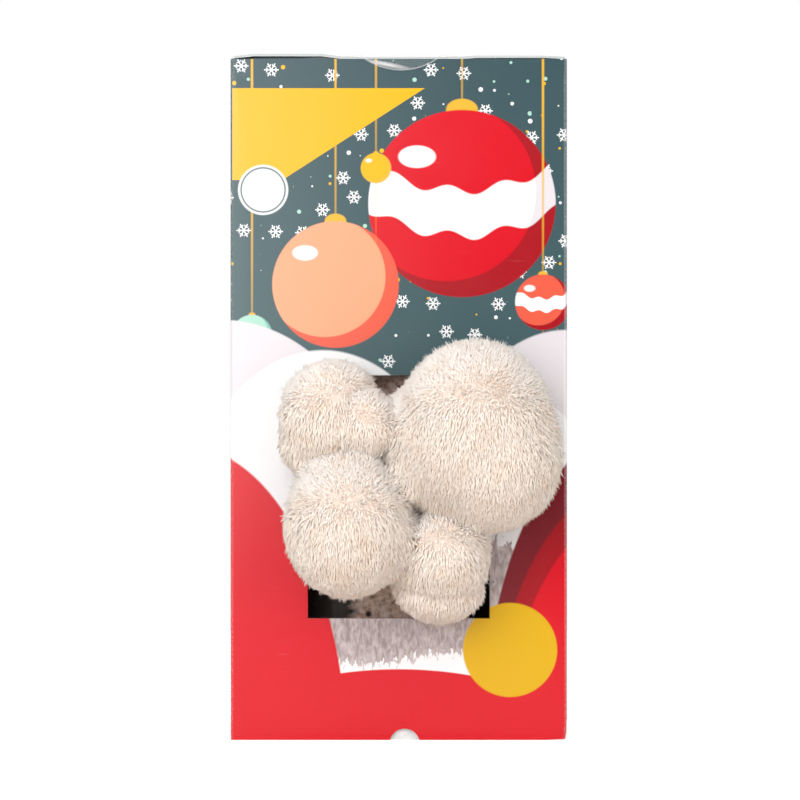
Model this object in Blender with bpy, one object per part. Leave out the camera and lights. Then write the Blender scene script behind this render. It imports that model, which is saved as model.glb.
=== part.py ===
"""A lion's mane mushroom grow kit: a tall folded carton with a window, the bagged sawdust block
that stands in it, and the four shaggy fruit bodies that grow out through the window.

The origin is the centre of the carton's underside. +Z is up and the window faces -Y.
All sizes are in metres. The carton is one folded board. Its lid is an object of its own, because
it turns on the back crease, and the clear seal goes with it.
"""

import math

import bmesh
import bpy
from mathutils import Matrix, Vector

# Carton
CARTON_WIDTH = 0.133
CARTON_DEPTH = 0.108
CARTON_HEIGHT = 0.270
BOARD = 0.0012
CREASE_RADIUS = 0.0014
GAP = 0.0003
HALF_WIDTH = CARTON_WIDTH / 2
HALF_DEPTH = CARTON_DEPTH / 2

# Levels of the top and bottom closures
LID_UNDERSIDE = CARTON_HEIGHT - BOARD
SIDE_TOP = LID_UNDERSIDE - GAP
FRONT_TOP = CARTON_HEIGHT - 0.0008
SIDE_BOTTOM = BOARD + GAP
FRONT_INNER_Y = -HALF_DEPTH + BOARD
TUCK_OUTER_Y = FRONT_INNER_Y + GAP
TUCK_HEIGHT = 0.018
LID_HINGE = (0, HALF_DEPTH, CARTON_HEIGHT)
LID_TUCK_LEAN = 0.0025
TUCK_HALF_WIDTH = 0.058
DUST_FLAP_LENGTH = 0.054
DUST_FLAP_TAPER = 0.82
LID_TUCK_TAPER = 0.94
DUST_FLAP_HALF_DEPTH = 0.0485
GLUE_LAP_WIDTH = 0.015

# Openings in the front panel
WINDOW_HALF_WIDTH = 0.0358
WINDOW_BOTTOM = 0.0482
WINDOW_TOP = 0.1440
NOTCH_X = 0.0023
NOTCH_RADIUS = 0.0060
NOTCH_DROP = 0.0015

# Clear round seal over the lid's front crease
SEAL_X = 0.0009
SEAL_RADIUS = 0.0254
SEAL_OVERHANG = 0.0060
SEAL_THICKNESS = 0.0003

# Sawdust block and its bag: a superellipse in plan
BLOCK_HALF_WIDTH = 0.0600
BLOCK_HALF_DEPTH = 0.0475
BLOCK_CENTRE_Y = 0.0015
BLOCK_BOTTOM = 0.0042
BLOCK_TOP = 0.2440
BLOCK_EDGE_RADIUS = 0.0080
BLOCK_SIDES = 32
BLOCK_SQUARENESS = 2.25
BAG_FILM = 0.0006
BAG_FOLD_HALF_WIDTH = 0.0500
BAG_FOLD_HALF_DEPTH = 0.0240
BAG_FOLD_TOP = 0.2620
BAG_FOLD_TAPER = (0.88, 0.45)
BAG_CUT_HALF_WIDTH = 0.0310
BAG_CUT_HALF_HEIGHT = 0.0370
BAG_CUT_Z = 0.0970

# Fruit bodies. Each lobe is an ellipsoid: centre x, y, z and half sizes along x, y, z.
# A neck is its foot's x and z, and its radius. Spine lengths and droop are shares of "spine".
PANEL_CLEARANCE = 0.0006
NEIGHBOUR_CLEARANCE = 0.0016
LOBE_BLEND = 9.0
BLEND_LIMIT = 1.02
SPINE_DROOP = 0.75
SPINE_LENGTH = 1.10
BARE_BACK = 0.45
NECK_DEPTH = 0.90
NECK_FLARE = (0.80, 1.15)
FRUIT_BODIES = {
    "fruit_body_upper_right": {
        "lobes": (
            (0.0299, -0.0800, 0.1241, 0.0313, 0.0300, 0.0352),
            (0.0384, -0.0790, 0.1128, 0.0262, 0.0285, 0.0304),
            (0.0126, -0.0730, 0.1105, 0.0168, 0.0195, 0.0214),
            (0.0056, -0.0690, 0.1322, 0.0085, 0.0115, 0.0085),
        ),
        "points": 440,
        "spine": 0.0050,
        "neck": (0.0130, 0.1120, 0.0110),
    },
    "fruit_body_lower_left": {
        "lobes": ((-0.0198, -0.0780, 0.0851, 0.0262, 0.0265, 0.0292),),
        "points": 300,
        "spine": 0.0048,
        "neck": (-0.0140, 0.0860, 0.0100),
    },
    "fruit_body_upper_left": {
        "lobes": (
            (-0.0261, -0.0710, 0.1293, 0.0212, 0.0200, 0.0217),
            (-0.0108, -0.0770, 0.1245, 0.0136, 0.0150, 0.0138),
            (-0.0280, -0.0680, 0.1180, 0.0192, 0.0170, 0.0172),
        ),
        "points": 270,
        "spine": 0.0044,
        "neck": (-0.0140, 0.1155, 0.0080),
    },
    "fruit_body_lower_right": {
        "lobes": (
            (0.0172, -0.0715, 0.0745, 0.0196, 0.0185, 0.0185),
            (0.0160, -0.0665, 0.0622, 0.0188, 0.0150, 0.0166),
        ),
        "points": 260,
        "spine": 0.0044,
        "neck": (0.0110, 0.0800, 0.0085),
    },
}

CUTTERS = "cutters"
KIT = "lions_mane_mushroom_grow_kit"


def clear_scene():
    for obj in list(bpy.data.objects):
        bpy.data.objects.remove(obj)


def collection(name):
    made = bpy.data.collections.new(name)
    bpy.context.scene.collection.children.link(made)
    return made


def material(name, colour, roughness, alpha=1.0):
    made = bpy.data.materials.new(name)
    made.use_nodes = True
    shader = made.node_tree.nodes["Principled BSDF"]
    shader.inputs["Base Color"].default_value = (*colour, 1.0)
    shader.inputs["Roughness"].default_value = roughness
    shader.inputs["Metallic"].default_value = 0.0
    shader.inputs["Alpha"].default_value = alpha
    return made


def object_from(bm, name, group, finish=None):
    """A named object in a collection, from a bmesh that is freed."""
    mesh = bpy.data.meshes.new(name)
    bm.to_mesh(mesh)
    bm.free()
    obj = bpy.data.objects.new(name, mesh)
    bpy.data.collections[group].objects.link(obj)
    if finish:
        mesh.materials.append(finish)
    if group == CUTTERS:
        obj.hide_render = True
        obj.display_type = "WIRE"
    return obj


def box_between(low, high, name, group=CUTTERS, finish=None):
    """A box primitive that fills the space between two corners."""
    low, high = Vector(low), Vector(high)
    bm = bmesh.new()
    bmesh.ops.create_cube(bm, size=1.0)
    bmesh.ops.scale(bm, vec=high - low, verts=bm.verts)
    bmesh.ops.translate(bm, vec=(low + high) / 2, verts=bm.verts)
    return object_from(bm, name, group, finish)


def set_origin(obj, point):
    """Moves an object's origin to a point in the world and leaves its shape where it is."""
    point = Vector(point)
    obj.data.transform(Matrix.Translation(-point))
    obj.location = point


def shade_round(obj):
    """Smooth shading, with the creases kept sharp."""
    obj.data.shade_smooth()
    obj.data.set_sharp_from_angle(angle=math.radians(35))


def combine(target, other, operation):
    """Adds an exact Boolean to target. The other object becomes a hidden helper."""
    modifier = target.modifiers.new(f"{operation.lower()} {other.name}", "BOOLEAN")
    modifier.operation = operation
    modifier.object = other
    other.hide_render = True
    other.display_type = "WIRE"


def bevel_vertical_edges(obj, width, segments):
    bm = bmesh.new()
    bm.from_mesh(obj.data)
    upright = [
        edge
        for edge in bm.edges
        if abs((edge.verts[0].co - edge.verts[1].co).normalized().z) > 0.99
    ]
    bmesh.ops.bevel(
        bm, geom=upright, offset=width, segments=segments, profile=0.5, affect="EDGES"
    )
    bm.to_mesh(obj.data)
    bm.free()


def dust_flap(side, low_z, name):
    """A flap folded in from a side wall. Its free end is narrower than its crease."""
    flap = box_between(
        (-DUST_FLAP_LENGTH / 2, -DUST_FLAP_HALF_DEPTH, 0),
        (DUST_FLAP_LENGTH / 2, DUST_FLAP_HALF_DEPTH, BOARD),
        name,
    )
    for vertex in flap.data.vertices:
        if vertex.co.x * side < 0:
            vertex.co.y *= DUST_FLAP_TAPER
    middle_x = side * (HALF_WIDTH - CREASE_RADIUS / 2 - DUST_FLAP_LENGTH / 2)
    flap.location = (middle_x, 0, low_z)
    return flap


def build_carton(finish):
    """Four walls, the bottom panel with its tuck, four dust flaps and the glued lap."""
    carton = box_between(
        (-HALF_WIDTH, -HALF_DEPTH, 0),
        (HALF_WIDTH, HALF_DEPTH, FRONT_TOP),
        "carton",
        KIT,
        finish,
    )
    bevel_vertical_edges(carton, CREASE_RADIUS, 3)
    inside = box_between(
        (-HALF_WIDTH + BOARD, -HALF_DEPTH + BOARD, -BOARD),
        (HALF_WIDTH - BOARD, HALF_DEPTH - BOARD, CARTON_HEIGHT + BOARD),
        "carton inside",
    )
    combine(carton, inside, "DIFFERENCE")
    beyond = CARTON_WIDTH
    low_side_tops = box_between(
        (-beyond, FRONT_INNER_Y, SIDE_TOP),
        (beyond, beyond, CARTON_HEIGHT + BOARD),
        "low side tops",
    )
    combine(carton, low_side_tops, "DIFFERENCE")
    raised_side_bottoms = box_between(
        (-beyond, FRONT_INNER_Y, -BOARD),
        (beyond, HALF_DEPTH - BOARD, SIDE_BOTTOM),
        "raised side bottoms",
    )
    combine(carton, raised_side_bottoms, "DIFFERENCE")

    window = box_between(
        (-WINDOW_HALF_WIDTH, -HALF_DEPTH - BOARD, WINDOW_BOTTOM),
        (WINDOW_HALF_WIDTH, FRONT_INNER_Y + BOARD, WINDOW_TOP),
        "window cut",
    )
    combine(carton, window, "DIFFERENCE")
    bm = bmesh.new()
    bmesh.ops.create_cone(
        bm,
        cap_ends=True,
        segments=32,
        radius1=NOTCH_RADIUS,
        radius2=NOTCH_RADIUS,
        depth=2 * (BOARD + GAP),
    )
    notch = object_from(bm, "thumb notch cut", CUTTERS)
    notch.rotation_euler = (math.pi / 2, 0, 0)
    notch.location = (NOTCH_X, -HALF_DEPTH, -NOTCH_DROP)
    combine(carton, notch, "DIFFERENCE")

    bottom_panel = box_between(
        (-HALF_WIDTH + GAP, TUCK_OUTER_Y, 0),
        (HALF_WIDTH - GAP, HALF_DEPTH - BOARD / 2, BOARD),
        "bottom panel",
    )
    combine(carton, bottom_panel, "UNION")
    bottom_tuck = box_between(
        (-TUCK_HALF_WIDTH, TUCK_OUTER_Y, BOARD / 2),
        (TUCK_HALF_WIDTH, TUCK_OUTER_Y + BOARD, TUCK_HEIGHT),
        "bottom tuck",
    )
    combine(carton, bottom_tuck, "UNION")
    for side, word in ((-1, "left"), (1, "right")):
        for low_z, level in ((SIDE_BOTTOM, "bottom"), (SIDE_TOP - BOARD, "top")):
            combine(
                carton, dust_flap(side, low_z, f"{level} {word} dust flap"), "UNION"
            )
    glue_lap = box_between(
        (-HALF_WIDTH + BOARD / 2, HALF_DEPTH - 1.5 * BOARD, 2 * TUCK_HEIGHT),
        (
            -HALF_WIDTH + BOARD + GLUE_LAP_WIDTH,
            HALF_DEPTH - BOARD - GAP,
            SIDE_TOP - TUCK_HEIGHT,
        ),
        "glue lap",
    )
    combine(carton, glue_lap, "UNION")
    return carton


def build_lid(finish):
    """The top panel and the tuck flap that leans inwards, so that it clears the front wall."""
    lid = box_between(
        (-HALF_WIDTH + 2 * GAP, TUCK_OUTER_Y, LID_UNDERSIDE),
        (HALF_WIDTH - 2 * GAP, HALF_DEPTH, CARTON_HEIGHT),
        "lid",
        KIT,
        finish,
    )
    bm = bmesh.new()
    bm.from_mesh(lid.data)
    front_crease = [
        edge
        for edge in bm.edges
        if all(
            vert.co.y < 0 and vert.co.z > CARTON_HEIGHT - GAP for vert in edge.verts
        )
    ]
    bmesh.ops.bevel(
        bm, geom=front_crease, offset=BOARD * 0.8, segments=3, profile=0.5, affect="EDGES"
    )
    bm.to_mesh(lid.data)
    bm.free()
    tuck = box_between(
        (-TUCK_HALF_WIDTH, TUCK_OUTER_Y, CARTON_HEIGHT - TUCK_HEIGHT - BOARD),
        (TUCK_HALF_WIDTH, TUCK_OUTER_Y + BOARD, LID_UNDERSIDE + BOARD / 3),
        "lid tuck",
    )
    for vertex in tuck.data.vertices:
        if vertex.co.z < LID_UNDERSIDE:
            vertex.co.y += LID_TUCK_LEAN
            vertex.co.x *= LID_TUCK_TAPER
    combine(lid, tuck, "UNION")
    set_origin(lid, LID_HINGE)
    return lid


def seal_disc():
    bm = bmesh.new()
    bmesh.ops.create_cone(
        bm,
        cap_ends=True,
        segments=56,
        radius1=SEAL_RADIUS,
        radius2=SEAL_RADIUS,
        depth=SEAL_THICKNESS,
    )
    return bm


def keep_above(bm, point, normal):
    """Cuts a closed bmesh by a plane, keeps the side that the normal points to, and caps it."""
    geometry = bm.verts[:] + bm.edges[:] + bm.faces[:]
    cut = bmesh.ops.bisect_plane(
        bm, geom=geometry, plane_co=point, plane_no=normal, clear_inner=True
    )
    edges = [item for item in cut["geom_cut"] if isinstance(item, bmesh.types.BMEdge)]
    bmesh.ops.contextual_create(bm, geom=edges)


def build_seal(lid, finish):
    """A clear disc bent over the front crease: most of it lies on the lid, the rest hangs down."""
    front_y = -HALF_DEPTH - GAP - SEAL_THICKNESS
    top_z = CARTON_HEIGHT + GAP + SEAL_THICKNESS
    centre_behind_fold = SEAL_RADIUS - SEAL_OVERHANG

    bm = seal_disc()
    keep_above(bm, (0, -centre_behind_fold, 0), (0, 1, 0))
    bmesh.ops.translate(
        bm,
        vec=(SEAL_X, front_y + centre_behind_fold, top_z - SEAL_THICKNESS / 2),
        verts=bm.verts,
    )
    seal = object_from(bm, "clear_seal", KIT, finish)
    shade_round(seal)

    bm = seal_disc()
    upright = Matrix.Rotation(math.pi / 2, 3, "X")
    bmesh.ops.rotate(bm, cent=(0, 0, 0), matrix=upright, verts=bm.verts)
    keep_above(bm, (0, 0, -centre_behind_fold), (0, 0, -1))
    bmesh.ops.translate(
        bm,
        vec=(SEAL_X, front_y + SEAL_THICKNESS / 2, top_z + centre_behind_fold),
        verts=bm.verts,
    )
    combine(seal, object_from(bm, "seal front part", CUTTERS), "UNION")
    set_origin(seal, LID_HINGE)
    seal.location = (0, 0, 0)
    seal.parent = lid


def superellipse(angle, half_x, half_y):
    """A point on |x/a|^n + |y/b|^n = 1, seen from the centre at this angle."""
    power = 2 / BLOCK_SQUARENESS
    cosine, sine = math.cos(angle), math.sin(angle)
    return Vector(
        (
            half_x * math.copysign(abs(cosine) ** power, cosine),
            half_y * math.copysign(abs(sine) ** power, sine),
        )
    )


def block_shape(name, group, grow, finish=None):
    """The packed block's form, grown on every side: a rounded prism with softened rims."""
    bm = bmesh.new()
    bmesh.ops.create_cone(
        bm, cap_ends=True, segments=BLOCK_SIDES, radius1=1, radius2=1, depth=1
    )
    low, high = BLOCK_BOTTOM - grow, BLOCK_TOP + grow
    for vert in bm.verts:
        angle = math.atan2(vert.co.y, vert.co.x)
        plan = superellipse(angle, BLOCK_HALF_WIDTH + grow, BLOCK_HALF_DEPTH + grow)
        height = high if vert.co.z > 0 else low
        vert.co = (plan.x, plan.y + BLOCK_CENTRE_Y, height)
    rims = [
        edge
        for edge in bm.edges
        if abs(edge.verts[0].co.z - edge.verts[1].co.z) < 1e-6
    ]
    bmesh.ops.bevel(
        bm,
        geom=rims,
        offset=BLOCK_EDGE_RADIUS,
        segments=3,
        profile=0.5,
        affect="EDGES",
        clamp_overlap=True,
    )
    block = object_from(bm, name, group, finish)
    shade_round(block)
    return block


def build_bag(finish):
    """A film bag round the block, cut open behind the window and folded down on top."""
    bag = block_shape("grow_bag", KIT, GAP + BAG_FILM, finish)
    fold = box_between(
        (-BAG_FOLD_HALF_WIDTH, -BAG_FOLD_HALF_DEPTH, BLOCK_TOP),
        (BAG_FOLD_HALF_WIDTH, BAG_FOLD_HALF_DEPTH, BAG_FOLD_TOP),
        "bag fold",
    )
    for vertex in fold.data.vertices:
        if vertex.co.z > BLOCK_TOP + GAP:
            vertex.co.x *= BAG_FOLD_TAPER[0]
            vertex.co.y *= BAG_FOLD_TAPER[1]
    combine(bag, fold, "UNION")
    combine(bag, block_shape("bag inside", CUTTERS, GAP), "DIFFERENCE")
    bm = bmesh.new()
    bmesh.ops.create_cone(
        bm, cap_ends=True, segments=24, radius1=1, radius2=1, depth=HALF_DEPTH
    )
    cut = object_from(bm, "bag cut", CUTTERS)
    cut.rotation_euler = (math.pi / 2, 0, 0)
    cut.scale = (BAG_CUT_HALF_WIDTH, BAG_CUT_HALF_HEIGHT, 1)
    cut.location = (0, -HALF_DEPTH, BAG_CUT_Z)
    combine(bag, cut, "DIFFERENCE")
    return bag


def fibonacci_directions(count):
    """Unit vectors spread evenly over a sphere."""
    golden_angle = math.pi * (3 - math.sqrt(5))
    directions = []
    for index in range(count):
        height = 1 - 2 * (index + 0.5) / count
        ring = math.sqrt(1 - height * height)
        turn = golden_angle * index
        directions.append(Vector((ring * math.cos(turn), ring * math.sin(turn), height)))
    return directions


def crossings(start, direction, lobe, grow=0.0):
    """Where a ray enters and leaves a lobe's ellipsoid, as distances, or None if it misses."""
    centre = Vector(lobe[:3])
    radii = Vector(lobe[3:]) + Vector((grow, grow, grow))
    offset = Vector(a / b for a, b in zip(start - centre, radii))
    along = Vector(a / b for a, b in zip(direction, radii))
    square, half = along.length_squared, offset.dot(along)
    inside = half * half - square * (offset.length_squared - 1)
    if inside <= 0:
        return None
    root = math.sqrt(inside)
    return (-half - root) / square, (-half + root) / square


def reach(centre, direction, lobes, earlier_lobes):
    """How far a fruit body's surface lies from its centre in this direction."""
    exits = [crossings(centre, direction, lobe) for lobe in lobes]
    exits = [found[1] for found in exits if found and found[1] > 0]
    blended = sum(distance**LOBE_BLEND for distance in exits) ** (1 / LOBE_BLEND)
    limit = min(blended, max(exits) * BLEND_LIMIT)
    if direction.y > 0:
        panel_y = -HALF_DEPTH - PANEL_CLEARANCE
        limit = min(limit, (panel_y - centre.y) / direction.y)
    for lobe in earlier_lobes:
        found = crossings(centre, direction, lobe, NEIGHBOUR_CLEARANCE)
        if found and found[1] > 0:
            limit = min(limit, max(found[0], 0.2 * limit))
    return limit


def build_fruit_body(name, facts, earlier_lobes, finish):
    """A pom-pom on a neck: lobes grown together, with every outward face a drooping spine."""
    lobes, spine = facts["lobes"], facts["spine"]
    centre = Vector(lobes[0][:3])
    bm = bmesh.new()
    for direction in fibonacci_directions(facts["points"]):
        bm.verts.new(direction)
    bmesh.ops.convex_hull(bm, input=bm.verts)
    for vert in bm.verts:
        direction = vert.co.normalized()
        distance = reach(centre, direction, lobes, earlier_lobes)
        shaggy = min(1.0, max(0.0, 1.2 - 2 * direction.y))
        vert.co = centre + direction * (distance - spine * shaggy)
    bm.normal_update()
    bmesh.ops.recalc_face_normals(bm, faces=bm.faces)

    spiny = [face for face in bm.faces if face.normal.y < BARE_BACK]
    poked = bmesh.ops.poke(bm, faces=spiny, offset=0.0, center_mode="MEAN")
    for vert in poked["verts"]:
        outward = (vert.co - centre).normalized()
        droop = Vector((0, 0, -SPINE_DROOP * spine * (1.15 - outward.z)))
        tip = vert.co + outward * spine * SPINE_LENGTH + droop
        direction = (tip - centre).normalized()
        limit = reach(centre, direction, lobes, earlier_lobes)
        vert.co = centre + direction * min((tip - centre).length, limit)
    body = object_from(bm, name, KIT, finish)

    neck_x, neck_z, neck_radius = facts["neck"]
    foot = Vector((neck_x, BLOCK_CENTRE_Y - BLOCK_HALF_DEPTH * NECK_DEPTH, neck_z))
    axis = centre - foot
    bm = bmesh.new()
    bmesh.ops.create_cone(
        bm,
        cap_ends=True,
        segments=16,
        radius1=neck_radius * NECK_FLARE[0],
        radius2=neck_radius * NECK_FLARE[1],
        depth=axis.length,
    )
    turn = axis.to_track_quat("Z", "Y").to_matrix()
    bmesh.ops.rotate(bm, cent=(0, 0, 0), matrix=turn, verts=bm.verts)
    bmesh.ops.translate(bm, vec=(foot + centre) / 2, verts=bm.verts)
    combine(body, object_from(bm, f"{name} neck", CUTTERS), "UNION")
    combine(body, block_shape(f"{name} root trim", CUTTERS, GAP), "DIFFERENCE")
    return body


def main():
    clear_scene()
    collection(KIT)
    collection(CUTTERS)
    board = material("printed carton board", (0.78, 0.05, 0.07), 0.45)
    film = material("clear bag film", (0.75, 0.72, 0.68), 0.15, alpha=0.35)
    sawdust = material("sawdust block", (0.13, 0.075, 0.055), 0.85)
    seal_film = material("clear seal film", (0.85, 0.88, 0.88), 0.12, alpha=0.25)
    flesh = material("mushroom flesh", (0.91, 0.83, 0.74), 0.8)

    build_carton(board)
    build_seal(build_lid(board), seal_film)
    block_shape("substrate_block", KIT, 0.0, sawdust)
    build_bag(film)
    earlier_lobes = []
    for name, facts in FRUIT_BODIES.items():
        build_fruit_body(name, facts, earlier_lobes, flesh)
        earlier_lobes.extend(facts["lobes"])


main()
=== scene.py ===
# %% [markdown]
# # A lion's mane mushroom kit, dressed over its frame
#
# A bagged block of sawdust stands in it, and four shaggy fruit bodies have grown out through the
# window. The frame brings the solids at their real size. This notebook gives each of them the
# surface that the eye meets: laminated print on folded board, wrinkled film, crumbly sawdust, and
# tens of thousands of soft hanging spines.

import math

import bpy
import numpy as np
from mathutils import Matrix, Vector, kdtree, noise
from mathutils.bvhtree import BVHTree


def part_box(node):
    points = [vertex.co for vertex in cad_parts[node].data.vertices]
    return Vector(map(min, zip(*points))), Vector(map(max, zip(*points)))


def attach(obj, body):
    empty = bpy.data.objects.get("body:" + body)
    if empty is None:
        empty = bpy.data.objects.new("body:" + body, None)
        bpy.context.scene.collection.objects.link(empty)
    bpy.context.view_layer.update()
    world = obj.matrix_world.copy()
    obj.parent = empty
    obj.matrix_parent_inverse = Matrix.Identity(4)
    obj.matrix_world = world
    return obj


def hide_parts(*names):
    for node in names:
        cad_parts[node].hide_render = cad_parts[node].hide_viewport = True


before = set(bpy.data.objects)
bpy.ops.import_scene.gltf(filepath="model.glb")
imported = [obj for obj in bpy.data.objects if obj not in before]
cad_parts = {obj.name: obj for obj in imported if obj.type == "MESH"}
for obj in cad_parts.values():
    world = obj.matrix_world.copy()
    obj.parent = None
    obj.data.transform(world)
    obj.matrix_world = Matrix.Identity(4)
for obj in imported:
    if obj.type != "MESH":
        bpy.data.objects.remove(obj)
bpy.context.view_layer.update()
MM = 0.001
CARTON_LOW, CARTON_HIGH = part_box("carton")
LID_LOW, LID_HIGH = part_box("lid")
FRONT_Y = CARTON_LOW.y
HALF_WIDTH = CARTON_HIGH.x
HALF_DEPTH = CARTON_HIGH.y
BOARD = 1.2 * MM
print("the carton's front panel lies at y =", round(FRONT_Y / MM, 2), "mm")


# %% [markdown]
# ## A few small helpers
#
# Colours are given as sRGB hex values, but shaders work in linear light, so one function turns one
# into the other. A second function adds a shader node, sets what it is given and links what it is
# given: with it, a material reads from top to bottom like a recipe. A node that is given as an
# input stands for its own first output that is in use, which is the one that is nearly always
# meant.


# %% Colour and node helpers
def linear(hex_colour):
    """An sRGB hex colour as the linear RGBA that shader sockets take."""
    channels = [int(hex_colour[i : i + 2], 16) / 255 for i in (1, 3, 5)]
    curve = [c / 12.92 if c <= 0.04045 else ((c + 0.055) / 1.055) ** 2.4 for c in channels]
    return (*curve, 1.0)


def feed(node, inputs):
    """Gives inputs, by name or in order, a value or a link from a socket or another node."""
    for key, value in inputs.items() if isinstance(inputs, dict) else enumerate(inputs):
        if isinstance(value, bpy.types.Node):
            value = next(socket for socket in value.outputs if socket.enabled)
        if isinstance(value, bpy.types.NodeSocket):
            node.id_data.links.new(value, node.inputs[key])
        else:
            node.inputs[key].default_value = value


def add(tree, kind, inputs=(), **settings):
    """Adds a shader node of a kind, sets its properties, and feeds its inputs."""
    made = tree.nodes.new("ShaderNode" + kind)
    for name, value in settings.items():
        setattr(made, name, value)
    feed(made, inputs)
    return made


def set_stops(ramp, stops):
    """Gives a colour ramp node these (position, hex colour) stops."""
    elements = ramp.color_ramp.elements
    while len(elements) < len(stops):
        elements.new(1.0)
    for element, (position, colour) in zip(elements, stops):
        element.position = position
        element.color = linear(colour)
    return ramp


def new_material(name):
    """A node material, its tree, and its Principled shader, already linked to the output."""
    material = bpy.data.materials.new(name)
    material.use_nodes = True
    tree = material.node_tree
    return material, tree, tree.nodes["Principled BSDF"]


# %% Mesh helpers
def deselect_all():
    for obj in bpy.context.selected_objects:
        obj.select_set(False)


def make_active(obj):
    deselect_all()
    obj.select_set(True)
    bpy.context.view_layer.objects.active = obj


def shape_with(piece, kind, name, **settings):
    """Adds a modifier to a piece, sets it, and applies it."""
    made = piece.modifiers.new(name, kind)
    for key, value in settings.items():
        setattr(made, key, value)
    make_active(piece)
    bpy.ops.object.modifier_apply(modifier=made.name)


def copy_of_solid(node, name):
    """A copy of a frame solid with its loose triangles welded, ready for editing."""
    piece = bpy.data.objects.new(name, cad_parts[node].data.copy())
    bpy.context.scene.collection.objects.link(piece)
    make_active(piece)
    bpy.ops.object.mode_set(mode="EDIT")
    bpy.ops.mesh.select_all(action="SELECT")
    bpy.ops.mesh.remove_doubles(threshold=0.00001)
    bpy.ops.object.mode_set(mode="OBJECT")
    piece.data.materials.clear()
    return piece


# %% [markdown]
# ## Camera, floor and light
#
# The photograph is a straight-on product shot: the carton's sides don't converge, so the camera
# stood well back with a long lens, level with the middle of the carton. A tall softbox stands
# close to the left of the camera. It gives the soft cream light on the mushrooms, and its mirror
# image lies as a pale haze over the left part of the laminated print. White walls all round give
# the rest, so nothing falls into deep shadow.

# %% Camera
PHOTO_SIDE = 800
PHOTO_SCALE = 0.3952 * MM
CARTON_CENTRE_PX = 398.75
CARTON_FOOT_PX = 740
CAMERA_DISTANCE = 2.2
SENSOR = 36.0

view_width = PHOTO_SIDE * PHOTO_SCALE
camera_x = (PHOTO_SIDE / 2 - CARTON_CENTRE_PX) * PHOTO_SCALE
camera_z = (CARTON_FOOT_PX - PHOTO_SIDE / 2) * PHOTO_SCALE
camera_data = bpy.data.cameras.new("camera")
camera_data.sensor_width = SENSOR
camera_data.lens = SENSOR * CAMERA_DISTANCE / view_width
camera = bpy.data.objects.new("camera", camera_data)
bpy.context.scene.collection.objects.link(camera)
camera.location = (camera_x, FRONT_Y - CAMERA_DISTANCE, camera_z)
camera.rotation_euler = (math.radians(90), 0, 0)
bpy.context.scene.camera = camera
bpy.context.scene.view_settings.view_transform = "Standard"
print("lens", round(camera_data.lens, 1), "mm at", CAMERA_DISTANCE, "m")

# %% Floor, walls of light, and lamps
TABLE_RADIUS = 1.0
FLOOR_GLOW = 0.55
WALL_LIGHT = 0.70
DARK_ROOM = 0.12
WHITE = (1, 1, 1, 1)

# Each lamp: its name, size, place, the spot it aims at, watts and colour.
LAMPS = (
    ("softbox", (1.8, 1.9), (-0.85, -2.0, 0.91), (0.0, 0.0, 0.14), 44.0, (1.0, 1.0, 1.0)),
    ("fill", (1.6, 1.6), (1.6, -1.9, 0.6), (0.0, 0.0, 0.12), 18.5, (1.0, 0.96, 0.92)),
    ("top", (1.6, 1.6), (0.0, -0.3, 2.0), (0.0, 0.0, 0.0), 8.0, (1.0, 0.97, 0.94)),
)

bpy.ops.mesh.primitive_circle_add(vertices=128, radius=TABLE_RADIUS, fill_type="NGON")
floor = bpy.context.object
floor.name = "floor"
floor_material, floor_tree, floor_shader = new_material("white studio table")
seen = add(floor_tree, "LightPath").outputs["Is Camera Ray"]
glow = add(floor_tree, "MapRange", {"Value": seen, "To Max": FLOOR_GLOW})
feed(floor_shader, {"Base Color": linear("#f1ece6"), "Roughness": 0.9, "Specular IOR Level": 0.1})
feed(floor_shader, {"Emission Color": WHITE, "Emission Strength": glow})
floor.data.materials.append(floor_material)

world = bpy.data.worlds.new("white studio")
bpy.context.scene.world = world
world.use_nodes = True
studio = world.node_tree
way = add(studio, "TexCoord").outputs["Generated"]
ahead = add(studio, "VectorMath", [way, (0, -1, 0)], operation="DOT_PRODUCT")
facing_wall = {"From Min": 0.72, "From Max": 0.94, "To Min": WALL_LIGHT, "To Max": DARK_ROOM}
walls = add(studio, "MapRange", {"Value": ahead, **facing_wall}, interpolation_type="SMOOTHSTEP")
seen = add(studio, "LightPath").outputs["Is Camera Ray"]
brightness = add(studio, "MapRange", {"Value": seen, "To Min": walls, "To Max": 1.0})
feed(studio.nodes["Background"], {"Color": WHITE, "Strength": brightness})

for name, size, place, aim, watts, colour in LAMPS:
    lamp = bpy.data.lights.new(name, "AREA")
    lamp.shape = "RECTANGLE"
    lamp.size, lamp.size_y = size
    lamp.energy = watts
    lamp.color = colour
    holder = bpy.data.objects.new(name, lamp)
    bpy.context.scene.collection.objects.link(holder)
    holder.location = place
    towards = Vector(aim) - Vector(place)
    holder.rotation_euler = towards.to_track_quat("-Z", "Y").to_euler()
print(len(LAMPS), "lamps, walls at", WALL_LIGHT)

# %% [markdown]
# ## The printed board
#
# A carton like this is offset printed, laminated with a satin film, and folded. The artwork wraps
# round all four sides, so it is drawn in the sheet's own flat coordinates: a UV map whose first
# number is the distance round the carton and whose second is the height, both in metres. Each
# motif is a mask made from a distance, as a vector drawing would be, so it stays sharp however
# near the eye comes, and no image is needed. The design is a plain winter one: a deep teal sky
# with hanging glass balls and snow, white and grey drifts, red hills, and a few bare labels.

# %% Ink colours
TEAL_HIGH = "#334b51"
TEAL_LOW = "#3e575b"
RED = "#c50018"
RED_SHADE = "#9a0716"
DARK_RED = "#74141f"
SNOW = "#dfe0e2"
SNOW_SHADE = "#cfcacf"
DRIFT_GREY = "#918585"
DRIFT_LIGHT = "#bdb2b2"
YELLOW = "#d9a800"
DEEP_YELLOW = "#cca000"
PEACH = "#df9974"
CORAL = "#d65640"
MINT = "#9cc7b7"
MINT_SHADE = "#6fae9d"
GOLD = "#d6a52f"


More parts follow.
